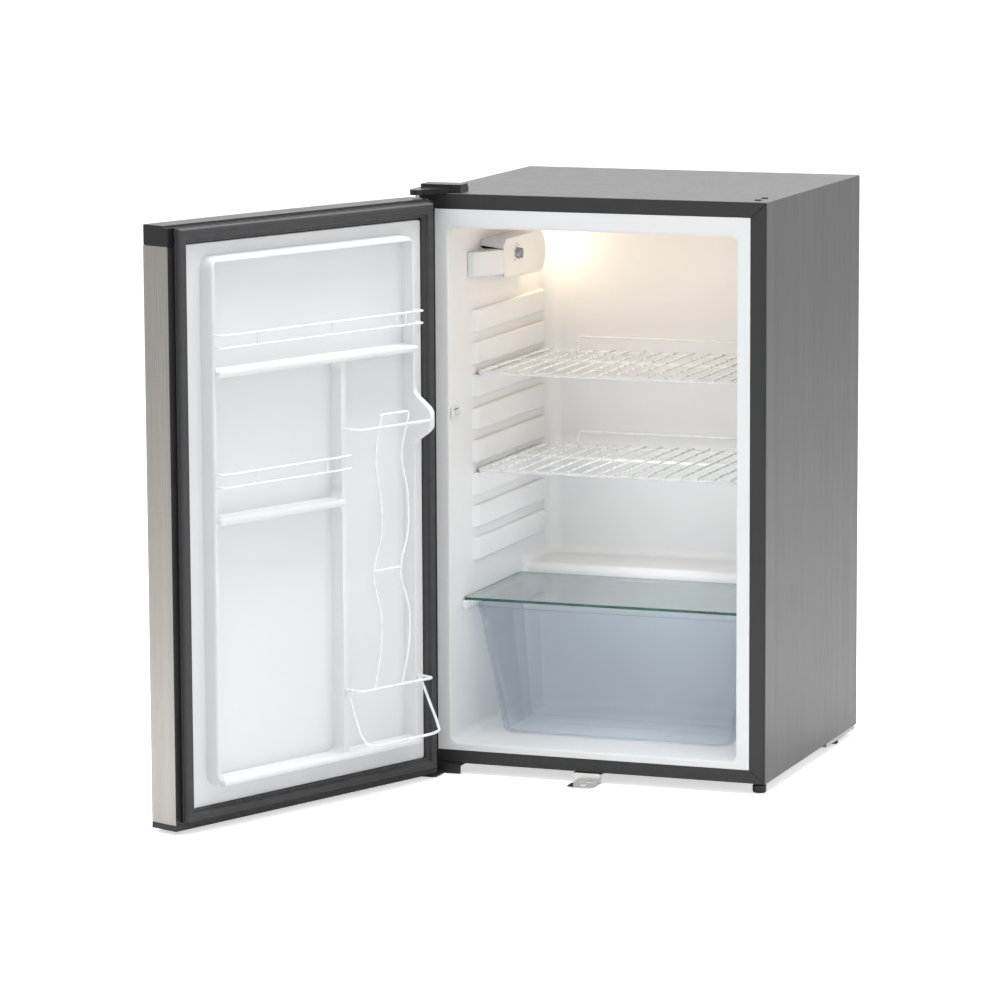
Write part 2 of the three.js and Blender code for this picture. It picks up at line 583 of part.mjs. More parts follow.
// Can rack: cross bars, a pair of wavy uprights and a hooped foot.
const rackFace = 37;
const wave = (xs, z0, z1) => softWire(xs.map((x, i) =>
  [x, rackFace, THREE.MathUtils.lerp(z1, z0, i / (xs.length - 1))]), 3.4, 24);
add(door, "can_rack", "whiteCoat", join(
  bentWire([[dividerX, 6 + gap, 496], [dividerX, rackFace, 496], [-185.7, rackFace, 496]], 4, 6),
  wave([-92, -81, -90, -91, -75, -89, -88, -75], 138, 508),
  wave([-145, -131, -142, -142, -127, -143, -142, -128], 138, 508),
  bentWire([[-92, rackFace, 504], [-92, rackFace, 513], [-145, rackFace, 513],
    [-145, rackFace, 504]], 3.4, 4),
  rod([-73, rackFace, 302], [-129, rackFace, 302], 3),
  bentWire([[dividerX, 6 + gap, 140], [dividerX, rackFace, 140], [-190, rackFace, 140],
    [-190, ridgeReach + gap, 140]], 4, 6),
  bentWire([[dividerX, 14, 140], [dividerX + 2, 50, 67], [-189, 50, 67], [-190, 14, 140]], 4, 8)));

// Lock: barrel through the skin with its ring, and the bolt that it drives down.
const lockFace = doorFace - doorBow;
add(door, "lock_ring", "polished", cut(
  rodY(lockX, lockZ, lockFace - 2.2, lockFace - gap, 12, 24),
  rodY(lockX, lockZ, lockFace - 4, lockFace + 2, 8.4, 20)));
add(door, "lock_cylinder", "polished", cut(
  rodY(lockX, lockZ, lockFace - 3.2, -34, 8, 20),
  block([lockX - 0.8, lockX + 0.8], [lockFace - 4, lockFace + 6], [lockZ - 4, lockZ + 4])));
add(door, "lock_bolt", "polished",
  block([lockX - 3, lockX + 3], [-28, -22], [doorBottom + 0.5, 13]));

export default group;
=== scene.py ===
import json
import math

import bmesh
import bpy
from bmesh.types import BMEdge, BMFace, BMVert
from mathutils import Matrix, Vector

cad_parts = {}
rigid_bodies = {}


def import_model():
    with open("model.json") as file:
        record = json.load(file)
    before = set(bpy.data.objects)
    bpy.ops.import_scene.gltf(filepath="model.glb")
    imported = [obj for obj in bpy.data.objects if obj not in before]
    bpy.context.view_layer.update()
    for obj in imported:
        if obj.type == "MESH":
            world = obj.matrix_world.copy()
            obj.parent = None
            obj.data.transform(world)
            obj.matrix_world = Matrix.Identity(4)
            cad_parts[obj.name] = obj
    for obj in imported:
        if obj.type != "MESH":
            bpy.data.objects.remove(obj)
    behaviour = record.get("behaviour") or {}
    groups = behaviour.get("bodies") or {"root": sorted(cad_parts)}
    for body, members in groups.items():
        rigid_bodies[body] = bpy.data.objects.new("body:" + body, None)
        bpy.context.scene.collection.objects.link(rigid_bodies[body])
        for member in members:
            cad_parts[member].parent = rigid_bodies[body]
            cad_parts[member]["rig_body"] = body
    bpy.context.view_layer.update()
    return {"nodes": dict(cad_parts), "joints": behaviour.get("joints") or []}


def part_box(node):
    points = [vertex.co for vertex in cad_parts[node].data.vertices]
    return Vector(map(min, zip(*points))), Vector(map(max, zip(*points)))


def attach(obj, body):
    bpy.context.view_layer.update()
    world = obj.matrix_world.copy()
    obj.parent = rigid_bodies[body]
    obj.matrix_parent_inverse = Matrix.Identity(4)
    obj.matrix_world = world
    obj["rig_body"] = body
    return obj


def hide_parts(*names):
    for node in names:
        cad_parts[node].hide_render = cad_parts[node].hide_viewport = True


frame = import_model()
nodes = frame["nodes"]
bodyOf = {name: nodes[name]["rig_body"] for name in nodes}
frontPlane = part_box("front_frame_left")[0].y  # the face frame's front, in metres
doorJoint = next(j for j in frame["joints"] if j["name"] == "door_swing")
hingeSpot = Vector(doorJoint["pos_m"])
doorSwing = math.radians(doorJoint["range_deg"][0])  # from closed to the rest pose


def spot(x, y, z):
    # millimetres, y from the front plane, to metres in the shared frame
    return Vector((x / 1000, y / 1000 + frontPlane, z / 1000))


doorTurn = Matrix.Rotation(doorSwing, 4, "Z")
doorPlace = Matrix.Translation(hingeSpot) @ doorTurn @ Matrix.Translation(-hingeSpot)
print("frame loaded:", len(nodes), "nodes")

cameraSet = {"spot": (2.205, -6.5256, 1.4133), "turn": 20.35, "tilt": 8.789, "roll": 0.281, "lens": 177.83}


def makeCamera(s):
    turn, tilt = math.radians(s["turn"]), math.radians(s["tilt"])
    across = Vector((math.cos(turn), math.sin(turn), 0))
    back = Vector((math.sin(turn) * math.cos(tilt), -math.cos(turn) * math.cos(tilt), math.sin(tilt)))
    axes = Matrix((across, back.cross(across), back)).transposed().to_4x4()
    lens = bpy.data.cameras.new("camera")
    lens.lens, lens.sensor_width = s["lens"], 36
    camera = bpy.data.objects.new("camera", lens)
    roll = Matrix.Rotation(math.radians(-s["roll"]), 4, "Z")
    camera.matrix_world = Matrix.Translation(s["spot"]) @ axes @ roll
    bpy.context.scene.collection.objects.link(camera)
    bpy.context.scene.camera = camera


makeCamera(cameraSet)


def startMaterial(name, colour, roughness, **sockets):
    material = bpy.data.materials.new(name)
    material.use_nodes = True
    shader = material.node_tree.nodes["Principled BSDF"]
    shader.inputs["Base Color"].default_value = (*colour, 1)
    shader.inputs["Roughness"].default_value = roughness
    for socket, value in sockets.items():
        shader.inputs[socket.replace("_", " ")].default_value = value
    return material


def addNoise(material, scale, stretch=(1, 1, 1), detail=4, kind="ShaderNodeTexNoise"):
    tree = material.node_tree
    place = tree.nodes.new("ShaderNodeTexCoord")
    mapping = tree.nodes.new("ShaderNodeMapping")
    mapping.inputs["Scale"].default_value = stretch
    texture = tree.nodes.new(kind)
    texture.inputs["Scale"].default_value = scale
    if kind == "ShaderNodeTexNoise":
        texture.inputs["Detail"].default_value = detail
    tree.links.new(place.outputs["Object"], mapping.inputs["Vector"])
    tree.links.new(mapping.outputs["Vector"], texture.inputs["Vector"])
    return texture.outputs["Fac" if kind == "ShaderNodeTexNoise" else "Distance"]


def addRange(material, value, low, high, span=(0.3, 0.7)):
    tree = material.node_tree
    node = tree.nodes.new("ShaderNodeMapRange")
    node.inputs["From Min"].default_value, node.inputs["From Max"].default_value = span
    node.inputs["To Min"].default_value, node.inputs["To Max"].default_value = low, high
    tree.links.new(value, node.inputs["Value"])
    return node.outputs["Result"]


def driveColour(material, value, first, second, span=(0.3, 0.7)):
    tree = material.node_tree
    mix = tree.nodes.new("ShaderNodeMix")
    mix.data_type = "RGBA"
    mix.inputs["A"].default_value, mix.inputs["B"].default_value = (*first, 1), (*second, 1)
    tree.links.new(addRange(material, value, 0, 1, span), mix.inputs["Factor"])
    tree.links.new(mix.outputs["Result"], tree.nodes["Principled BSDF"].inputs["Base Color"])


def driveRoughness(material, value, low, high):
    tree = material.node_tree
    tree.links.new(addRange(material, value, low, high), tree.nodes["Principled BSDF"].inputs["Roughness"])


def driveBump(material, value, depth):
    tree = material.node_tree
    bump = tree.nodes.new("ShaderNodeBump")
    bump.inputs["Distance"].default_value = depth
    bump.inputs["Strength"].default_value = 1.0
    tree.links.new(value, bump.inputs["Height"])
    tree.links.new(bump.outputs["Normal"], tree.nodes["Principled BSDF"].inputs["Normal"])


def tint(colour, factor):
    return tuple(min(1, c * factor) for c in colour)


def mouldedPlastic(name, colour, roughness, grain=900, depth=0.00004, variation=0.03, **sockets):
    # injection or vacuum moulded plastic: faint tone drift, fine orange peel
    material = startMaterial(name, colour, roughness, **sockets)
    drift = addNoise(material, 5, detail=3)
    driveColour(material, drift, tint(colour, 1 - variation), tint(colour, 1 + variation))
    peel = addNoise(material, grain, detail=2)
    driveRoughness(material, addNoise(material, 60), roughness * 0.85, roughness * 1.15)
    driveBump(material, peel, depth)
    return material


def brushedMetal(name, colour, roughness, along, contrast=0.06, depth=0.00002, **sockets):
    # fine parallel scratches that run along one axis
    stretch = tuple(0.012 if axis == along else 1 for axis in "XYZ")
    material = startMaterial(name, colour, roughness, **sockets)
    fine = addNoise(material, 900, stretch, detail=5)
    broad = addNoise(material, 55, stretch, detail=3)
    driveColour(material, broad, tint(colour, 1 - contrast), tint(colour, 1 + contrast))
    driveRoughness(material, fine, roughness * 0.8, roughness * 1.25)
    driveBump(material, fine, depth)
    return material


def spangledZinc(name, colour):
    # hot dipped sheet: crystal patches of slightly different tone and gloss
    material = startMaterial(name, colour, 0.45, Metallic=0.9)
    patches = addNoise(material, 70, kind="ShaderNodeTexVoronoi")
    driveColour(material, patches, tint(colour, 0.95), tint(colour, 1.04), (0.1, 0.75))
    driveRoughness(material, addNoise(material, 30, detail=6), 0.36, 0.56)
    driveBump(material, addNoise(material, 500), 0.00003)
    return material


def clearMaterial(name, colour, roughness, index, passLight, clarity):
    # lets passLight of the lamp's light through; clarity is how far the eye sees straight through it
    material = startMaterial(name, colour, roughness, Transmission_Weight=1.0, IOR=index)
    driveRoughness(material, addNoise(material, 35, detail=3), roughness * 0.7, roughness * 1.6)
    tree = material.node_tree
    out = tree.nodes["Material Output"]
    rays = tree.nodes.new("ShaderNodeLightPath")
    through = tree.nodes.new("ShaderNodeBsdfTransparent")
    through.inputs["Color"].default_value = (*tint(colour, passLight), 1)
    mix = tree.nodes.new("ShaderNodeMixShader")
    tree.links.new(addRange(material, rays.outputs["Is Shadow Ray"], clarity, 1, (0, 1)), mix.inputs["Fac"])
    tree.links.new(tree.nodes["Principled BSDF"].outputs["BSDF"], mix.inputs[1])
    tree.links.new(through.outputs["BSDF"], mix.inputs[2])
    tree.links.new(mix.outputs["Shader"], out.inputs["Surface"])
    return material


greyPaint = brushedMetal("greyPaint", (0.092, 0.092, 0.094), 0.36, "Z", contrast=0.12)
blackPaint = mouldedPlastic("blackPaint", (0.02, 0.02, 0.021), 0.4, grain=1400, depth=0.00003)
stainless = brushedMetal("stainless", (0.45, 0.43, 0.405), 0.3, "Z", Metallic=1.0, Anisotropic=0.5)
polishedSteel = brushedMetal("polishedSteel", (0.72, 0.72, 0.71), 0.16, "X", contrast=0.03, Metallic=1.0)
blackPlastic = mouldedPlastic("blackPlastic", (0.018, 0.018, 0.019), 0.38, grain=1100)
gasketRubber = mouldedPlastic("gasketRubber", (0.042, 0.042, 0.044), 0.6, grain=700, depth=0.00006)
whiteLiner = mouldedPlastic("whiteLiner", (0.72, 0.733, 0.745), 0.34, grain=700, depth=0.000006,
                            variation=0.012)
whiteCoat = mouldedPlastic("whiteCoat", (0.76, 0.768, 0.775), 0.28, grain=600, depth=0.00001,
                           variation=0.02, Coat_Weight=0.4)
whitePlastic = mouldedPlastic("whitePlastic", (0.68, 0.69, 0.70), 0.35, grain=800, variation=0.02)
clearGlass = clearMaterial("clearGlass", (0.95, 0.985, 0.97), 0.012, 1.45, passLight=0.9, clarity=0.35)
glassEdge = startMaterial("glassEdge", (0.01, 0.075, 0.055), 0.12, Transmission_Weight=0.25, IOR=1.5)
driveColour(glassEdge, addNoise(glassEdge, 40, detail=3), (0.006, 0.05, 0.036), (0.02, 0.12, 0.09))
clearPlastic = clearMaterial("clearPlastic", (0.962, 0.98, 1.0), 0.03, 1.3, passLight=0.99, clarity=0.6)
foam = mouldedPlastic("foam", (0.72, 0.60, 0.33), 0.9, grain=350, depth=0.0004, variation=0.08)
galvanised = spangledZinc("galvanised", (0.52, 0.53, 0.54))
compressorBlack = mouldedPlastic("compressorBlack", (0.012, 0.012, 0.013), 0.26, grain=260,
                                 depth=0.00006)
copper = mouldedPlastic("copper", (0.62, 0.30, 0.18), 0.3, grain=500, variation=0.16, Metallic=1.0)
darkRubber = mouldedPlastic("darkRubber", (0.02, 0.02, 0.02), 0.75, grain=600, depth=0.0001)
lampGlass = startMaterial("lampGlass", (1.0, 0.86, 0.66), 0.25, Emission_Strength=5.0)
lampGlass.node_tree.nodes["Principled BSDF"].inputs["Emission Color"].default_value = (1.0, 0.74, 0.42, 1)
driveRoughness(lampGlass, addNoise(lampGlass, 90), 0.2, 0.35)
knobMetal = brushedMetal("knobMetal", (0.34, 0.34, 0.35), 0.3, "Z", Metallic=0.9)
glossBlack = mouldedPlastic("glossBlack", (0.012, 0.012, 0.013), 0.2, grain=900, depth=0.000002)
brass = mouldedPlastic("brass", (0.72, 0.52, 0.25), 0.3, variation=0.08, Metallic=1.0)
print("materials made")


def only(kind, geom):
    return [part for part in geom if isinstance(part, kind)]


def roundOver(bm, geom, width, steps, affect="EDGES", clamp=True):
    bmesh.ops.bevel(bm, geom=geom, offset=width / 1000, offset_type="OFFSET", affect=affect, segments=steps,
                    profile=0.5, material=-1, clamp_overlap=clamp)


def finishPiece(name, bm, material, body, replaced=(), smooth=35, wall=0):
    bmesh.ops.recalc_face_normals(bm, faces=bm.faces)
    mesh = bpy.data.meshes.new(name)
    bm.to_mesh(mesh)
    bm.free()
    materials = material if isinstance(material, (list, tuple)) else [material]
    for each in materials:
        mesh.materials.append(each)
    mesh.shade_smooth()
    mesh.set_sharp_from_angle(angle=math.radians(smooth))
    piece = bpy.data.objects.new(name, mesh)
    bpy.context.scene.collection.objects.link(piece)
    if wall:
        thick = piece.modifiers.new("wall", "SOLIDIFY")
        thick.thickness, thick.offset = wall / 1000, -1
    flats = piece.modifiers.new("flats", "WEIGHTED_NORMAL")  # keeps flats flat beside a rounded edge
    flats.keep_sharp = True
    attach(piece, body)
    if replaced:
        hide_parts(*replaced)


def mergedCopy(node):
    bm = bmesh.new()
    bm.from_mesh(nodes[node].data)
    bmesh.ops.remove_doubles(bm, verts=bm.verts, dist=0.00002)
    bmesh.ops.dissolve_limit(bm, angle_limit=math.radians(0.8), verts=bm.verts, edges=bm.edges)
    return bm


def softened(node, width, material, steps=2):
    # the CAD solid's own form with its edges rounded as a press or a mould leaves them
    bm = mergedCopy(node)
    sharp = [e for e in bm.edges if len(e.link_faces) == 2 and e.calc_face_angle(0) > math.radians(32)]
    roundOver(bm, sharp, width, steps)
    finishPiece(node + "Finished", bm, material, bodyOf[node], (node,))


def addBox(bm, low, high, rounding=0, steps=2):
    # a block between two corners, in millimetres, with rounded edges
    low, high = spot(*low), spot(*high)
    made = bmesh.ops.create_cube(bm, size=1)["verts"]
    bmesh.ops.scale(bm, vec=high - low, verts=made)
    bmesh.ops.translate(bm, vec=(low + high) / 2, verts=made)
    if rounding:
        roundOver(bm, list({e for v in made for e in v.link_edges}), rounding, steps)
    return made


def addTurned(bm, profile, place, steps=32):
    # profile is (radius, height) pairs in millimetres, turned about the placed Z axis
    old = set(bm.verts)
    line = [bm.verts.new((r / 1000, 0, h / 1000)) for r, h in profile]
    edges = [bm.edges.new(pair) for pair in zip(line, line[1:])]
    bmesh.ops.spin(bm, geom=line + edges, cent=(0, 0, 0), axis=(0, 0, 1), angle=math.tau, steps=steps,
                   use_merge=True)
    bmesh.ops.remove_doubles(bm, verts=[v for v in bm.verts if v not in old], dist=0.000005)
    bmesh.ops.transform(bm, matrix=place, verts=[v for v in bm.verts if v not in old])


def roundedPath(points, bend, steps=6):
    # straight runs joined by curves that start and end bend metres from each corner
    path = [points[0]]
    for before, corner, after in zip(points, points[1:], points[2:]):
        start = corner + (before - corner).normalized() * bend
        end = corner + (after - corner).normalized() * bend
        for i in range(steps + 1):
            t = i / steps
            path.append(start.lerp(corner, t).lerp(corner.lerp(end, t), t))
    return path + [points[-1]]


def smoothPath(points, steps=6):
    # a Catmull-Rom curve through the points
    ends = [points[0] * 2 - points[1], *points, points[-1] * 2 - points[-2]]
    path = []
    for a, b, c, d in zip(ends, ends[1:], ends[2:], ends[3:]):
        for i in range(steps):
            t = i / steps
            path.append(0.5 * (2 * b + (c - a) * t + (2 * a - 5 * b + 4 * c - d) * t * t
                               + (3 * b - a - 3 * c + d) * t ** 3))
    return path + [points[-1]]


def addWire(bm, path, diameter, around=3):
    curve = bpy.data.curves.new("wirePath", "CURVE")
    curve.dimensions = "3D"
    curve.bevel_depth, curve.bevel_resolution = diameter / 2000, around
    curve.use_fill_caps = True
    spline = curve.splines.new("POLY")
    spline.points.add(len(path) - 1)
    for point, at in zip(spline.points, path):
        point.co = (*at, 1)
    holder = bpy.data.objects.new("wirePath", curve)
    mesh = bpy.data.meshes.new_from_object(holder)
    bm.from_mesh(mesh)
    bpy.data.objects.remove(holder)
    bpy.data.curves.remove(curve)
    bpy.data.meshes.remove(mesh)


def addScrew(bm, at, facing, radius=4.2, rise=2.0):
    # pan head with a cross recess
    old = set(bm.verts)
    disc = bmesh.ops.create_circle(bm, cap_ends=True, radius=radius / 1000, segments=16)["verts"]
    top = [f for f in bm.faces if all(v in disc for v in f.verts)]
    lifted = bmesh.ops.extrude_face_region(bm, geom=top)["geom"]
    bmesh.ops.translate(bm, vec=(0, 0, rise * 0.5 / 1000), verts=only(BMVert, lifted))
    top = only(BMFace, lifted)
    for inwards, outwards in ((0.2, 0.32), (0.3, 0.18)):
        bmesh.ops.inset_region(bm, faces=top, thickness=radius * inwards / 1000, depth=rise * outwards / 1000)
    middle = top[0].calc_center_median()
    for i, vert in enumerate(list(top[0].verts)):  # two of every four points form an arm of the cross
        vert.co = middle + (vert.co - middle) * (0.95 if i % 4 in (0, 1) else 0.4)
    bmesh.ops.inset_region(bm, faces=top, thickness=0.00001, depth=-rise * 0.4 / 1000)
    turnTo = Vector((0, 0, 1)).rotation_difference(Vector(facing)).to_matrix().to_4x4()
    made = [v for v in bm.verts if v not in old]
    bmesh.ops.transform(bm, matrix=Matrix.Translation(at) @ turnTo, verts=made)


def addPanel(bm, acrossX, acrossZ, y, corner, steps):
    # a rounded rectangle that faces back, carried on by (inwards, outwards) steps in millimetres
    (x0, x1), (z0, z1) = acrossX, acrossZ
    old = set(bm.verts)
    made = bmesh.ops.create_grid(bm, x_segments=1, y_segments=1, size=0.5)["verts"]
    bmesh.ops.scale(bm, vec=((x1 - x0) / 1000, (z1 - z0) / 1000, 1), verts=made)
    bmesh.ops.rotate(bm, matrix=Matrix.Rotation(math.radians(-90), 3, "X"), verts=made)
    bmesh.ops.translate(bm, vec=spot((x0 + x1) / 2, y, (z0 + z1) / 2), verts=made)
    if corner:  # it has to be wider than the steps inwards together, or they fold over
        roundOver(bm, made, corner, 7, "VERTICES")
    face = next(f for f in bm.faces if not any(v in old for v in f.verts))
    for inwards, outwards in steps:
        bmesh.ops.inset_region(bm, faces=[face], thickness=inwards / 1000, depth=outwards / 1000,
                               use_even_offset=True, use_boundary=True)
    return face


softened("case_wrap", 0.25, greyPaint, steps=2)
for name in ("front_frame_left", "front_frame_right", "front_frame_top", "front_frame_bottom"):
    softened(name, 0.5, blackPaint)
print("case done")

linerSet = {"half": 208, "floor": 28, "ceiling": 748, "back": 405, "step": (295, 236), "upright": 22.5,
            "corner": 11, "mouth": 0.4, "flangeHalf": 226.6, "flange": (18.4, 773.6), "forward": 0.9,
            "lip": ((0.04, -0.5), (0.12, -0.7), (1, -0.1), (1, 1.4)),  # share of the way out, back in mm
            "railTops": [302.5 + 46 * i for i in range(8)], "railTall": 32, "railReach": 7,
            "railSpan": (88, 383), "railSlope": (14, 10), "glassRail": ((48, 288), (208, 221), 6)}


def makeLiner(s):
    bm = bmesh.new()
    (stepY, stepZ), mouth = s["step"], s["mouth"]
    profile = ((mouth, s["floor"]), (mouth, s["ceiling"]), (s["back"], s["ceiling"]), (s["back"], stepZ),
               (stepY, stepZ), (stepY, s["floor"]))
    side = bm.faces.new([bm.verts.new(spot(-s["half"], y, z)) for y, z in profile])
    far = bmesh.ops.extrude_face_region(bm, geom=[side])["geom"]
    bmesh.ops.translate(bm, vec=(2 * s["half"] / 1000, 0, 0), verts=only(BMVert, far))
    front = [f for f in bm.faces if all(abs(v.co.y - spot(0, mouth, 0).y) < 1e-6 for v in f.verts)]
    bmesh.ops.delete(bm, geom=front, context="FACES_ONLY")
    upright = [e for e in bm.edges
               if len(e.link_faces) == 2 and abs(e.verts[0].co.z - e.verts[1].co.z) > 0.3]
    roundOver(bm, upright, s["upright"], 8)
    inner = [e for e in bm.edges if len(e.link_faces) == 2 and e.calc_face_angle(0) > 1]
    roundOver(bm, inner, s["corner"], 6)
    bmesh.ops.recalc_face_normals(bm, faces=bm.faces)
    bmesh.ops.reverse_faces(bm, faces=bm.faces)
    rim = [e for e in bm.edges if e.is_boundary]
    # the lip rolls forward and out into the flange behind the face frame
    middle = spot(0, 0, (s["floor"] + s["ceiling"]) / 2)
    nearSide, nearEnd = 0.19, 0.345  # a rim vertex further out than this is on a side, or on the top or floor
    for share, back in s["lip"]:
        out = bmesh.ops.extrude_edge_only(bm, edges=rim)["geom"]
        for v in only(BMVert, out):
            away = v.co - middle
            if abs(away.x) > nearSide:
                v.co.x += (math.copysign(s["flangeHalf"] / 1000, away.x) - v.co.x) * share
            if abs(away.z) > nearEnd:
                v.co.z += (s["flange"][1 if away.z > 0 else 0] / 1000 - v.co.z) * share
            v.co.y += back / 1000
        rim = [e for e in only(BMEdge, out) if e.is_boundary]
    bmesh.ops.translate(bm, vec=(0, s["forward"] / 1000, 0), verts=bm.verts)
    (low, high), (nearSlope, farSlope) = s["railSpan"], s["railSlope"]
    (glassFront, glassBack), (glassLow, glassHigh), glassReach = s["glassRail"]
    for way in (-1, 1):
        outer, reach = way * (s["half"] + 1), way * (s["half"] - s["railReach"])
        for top in s["railTops"]:
            pad = addBox(bm, (min(outer, reach), low, top - s["railTall"]), (max(outer, reach), high, top))
            face = [v for v in pad if abs(v.co.x) < (s["half"] - 1) / 1000]
            for v in face:
                v.co.y += (nearSlope if v.co.y < 0 else -farSlope) / 1000
            roundOver(bm, list({e for v in face for e in v.link_edges}), 3, 3)
        reach = way * (s["half"] - glassReach)
        addBox(bm, (min(outer, reach), glassFront, glassLow), (max(outer, reach), glassBack, glassHigh),
               rounding=2.5, steps=3)
    finishPiece("linerMoulding", bm, whiteLiner, "cabinet", ("inner_liner",), smooth=50)


makeLiner(linerSet)
print("liner done")

shelfSet = {"frame": 5, "slat": 3, "slats": 17, "pitch": 24, "half": 204.5, "front": 105, "back": 371,
            "crossAt": 0.59, "guardRise": 22, "guardHalf": 150, "guardCorner": 7, "corner": 9}


def makeWireShelf(node, s):
    bm = bmesh.new()
    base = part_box(node)[0].z * 1000 + s["frame"] / 2
    half, front, back = s["half"], s["front"], s["back"]
    loop = [spot(x, y, base) for x, y in ((0, front), (half, front), (half, back), (-half, back),
                                          (-half, front), (0, front))]
    addWire(bm, roundedPath(loop, s["corner"] / 1000), s["frame"], 4)
    cross = front + (back - front) * s["crossAt"]
    addWire(bm, [spot(-half, cross, base), spot(half, cross, base)], s["frame"], 4)
    lift = base + s["frame"] / 2 + s["slat"] / 2 - 0.5
    for i in range(s["slats"]):
        x = (i - (s["slats"] - 1) / 2) * s["pitch"]
        marks = ((front - 1.2, lift - 0.9), (front + 3, lift), ((front + back) / 2, lift),
                 (back - 3, lift), (back + 1.2, lift - 0.9))  # both ends dip where they are welded on
        addWire(bm, smoothPath([spot(x, y, z) for y, z in marks], 4), s["slat"])
    reach, top = s["guardHalf"], base + s["guardRise"]
    guard = [spot(x, back, z) for x, z in ((-reach, base), (-reach, top), (reach, top), (reach, base))]
    addWire(bm, roundedPath(guard, s["guardCorner"] / 1000), s["slat"])
    finishPiece(node + "Wires", bm, whiteCoat, node, (node,))


for name in ("wire_shelf_upper", "wire_shelf_lower"):
    makeWireShelf(name, shelfSet)

glassSet = {"corner": 5, "edge": 0.7}


def makeGlassShelf(s):
    low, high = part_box("glass_shelf")
    bm = bmesh.new()
    made = bmesh.ops.create_cube(bm, size=1)["verts"]
    bmesh.ops.scale(bm, vec=high - low, verts=made)
    bmesh.ops.translate(bm, vec=(low + high) / 2, verts=made)
    corners = [e for e in bm.edges if abs(e.verts[0].co.z - e.verts[1].co.z) > 0.001]
    roundOver(bm, corners, s["corner"], 6, clamp=False)
    rims = [e for e in bm.edges if e.calc_face_angle(0) > 1.2]
    roundOver(bm, rims, s["edge"], 2, clamp=False)
    bm.normal_update()
    for face in bm.faces:
        face.material_index = 0 if abs(face.normal.z) > 0.9 else 1
    finishPiece("glassPane", bm, (clearGlass, glassEdge), "glass_shelf", ("glass_shelf",))


makeGlassShelf(glassSet)
print("shelves done")

drawerSet = {"bottomHalf": 168, "topHalf": 200, "bottomSpan": (92, 239), "topSpan": (73, 285),
             "floor": 28.5, "top": 212, "wall": 2.4, "corner": 26, "foot": 7,
             "base": ((9, 0), (2.5, -1.6)),  # inwards and outwards in mm: a raised middle
             "rim": ((0.8, 0), (3.5, -0.3), (0.4, -3))}  # outwards and up in mm


def makeDrawer(s):
    bm = bmesh.new()
    for v in bmesh.ops.create_cube(bm, size=1)["verts"]:
        upper = v.co.z > 0
        half, span = (s["topHalf"], s["topSpan"]) if upper else (s["bottomHalf"], s["bottomSpan"])
        v.co = spot(math.copysign(half, v.co.x), span[1 if v.co.y > 0 else 0], s["top" if upper else "floor"])
    lid = [f for f in bm.faces if all(v.co.z > s["top"] / 1000 - 0.001 for v in f.verts)]
    bmesh.ops.delete(bm, geom=lid, context="FACES_ONLY")
    uprights = [e for e in bm.edges if abs(e.verts[0].co.z - e.verts[1].co.z) > 0.05]
    roundOver(bm, uprights, s["corner"], 8, clamp=False)
    low = s["floor"] / 1000 + 0.001
    under = [e for e in bm.edges if all(v.co.z < low for v in e.verts)]
    roundOver(bm, under, s["foot"], 4, clamp=False)
    base = max((f for f in bm.faces if f.calc_center_median().z < low), key=BMFace.calc_area)
    for inwards, outwards in s["base"]:
        bmesh.ops.inset_region(bm, faces=[base], thickness=inwards / 1000, depth=outwards / 1000,
                               use_even_offset=True)
    rim = [e for e in bm.edges if e.is_boundary]
    middle = spot(0, sum(s["topSpan"]) / 2, 0)
    for grow, lift in s["rim"]:
        out = bmesh.ops.extrude_edge_only(bm, edges=rim)["geom"]
        for v in only(BMVert, out):
            away = Vector((v.co.x - middle.x, v.co.y - middle.y, 0)).normalized()
            v.co += away * grow / 1000 + Vector((0, 0, lift / 1000))
        rim = [e for e in only(BMEdge, out) if e.is_boundary]
    bmesh.ops.recalc_face_normals(bm, faces=bm.faces)
    finishPiece("drawerTub", bm, clearPlastic, "crisper_drawer", ("crisper_drawer",), smooth=50,
                wall=s["wall"])


makeDrawer(drawerSet)
print("drawer done")

plain = {  # CAD nodes that are seen as they are
    "insulation_foam": foam, "door_foam": foam, "lamp_socket": blackPlastic, "door_bush_top": whitePlastic,
}
for name, material in plain.items():
    nodes[name].data.materials.clear()
    nodes[name].data.materials.append(material)

edges = {  # CAD nodes with their edges rounded by so many millimetres
    "door_top_cap": (1.4, glossBlack), "door_bottom_cap": (0.9, blackPlastic),
    "door_inner_frame": (0.5, blackPlastic), "leveling_foot_left": (0.7, blackPlastic),
    "leveling_foot_right": (0.7, blackPlastic), "top_hinge_bracket": (0.4, blackPaint),
    "top_hinge_pin": (0.4, polishedSteel), "top_hinge_cover": (0.9, glossBlack),
    "hinge_hole_plug_1": (0.3, blackPlastic), "hinge_hole_plug_2": (0.3, blackPlastic),
    "bottom_hinge_bracket": (0.4, blackPaint), "lock_strike": (0.25, polishedSteel),
    "lock_ring": (0.4, polishedSteel), "lock_cylinder": (0.3, polishedSteel),
    "lock_bolt": (0.3, polishedSteel), "base_plate": (0.2, galvanised), "bay_cover": (0.2, galvanised),
    "compressor_tray": (0.25, galvanised),
    "compressor_grommet_1": (0.5, darkRubber), "compressor_grommet_2": (0.5, darkRubber),
    "compressor_grommet_3": (0.5, darkRubber), "compressor_grommet_4": (0.5, darkRubber),
    "rear_foot_left": (0.5, darkRubber), "rear_foot_right": (0.5, darkRubber),
    "compressor_shell": (1.6, compressorBlack), "compressor_terminal_box": (2.5, blackPlastic),
    "drip_tray": (0.9, blackPlastic), "filter_drier": (0.6, copper), "cord_gland": (0.5, blackPlastic),
    "switch_body": (1.0, whitePlastic), "switch_plunger": (0.6, whitePlastic),
}
for name, (width, material) in edges.items():
    softened(name, width, material)

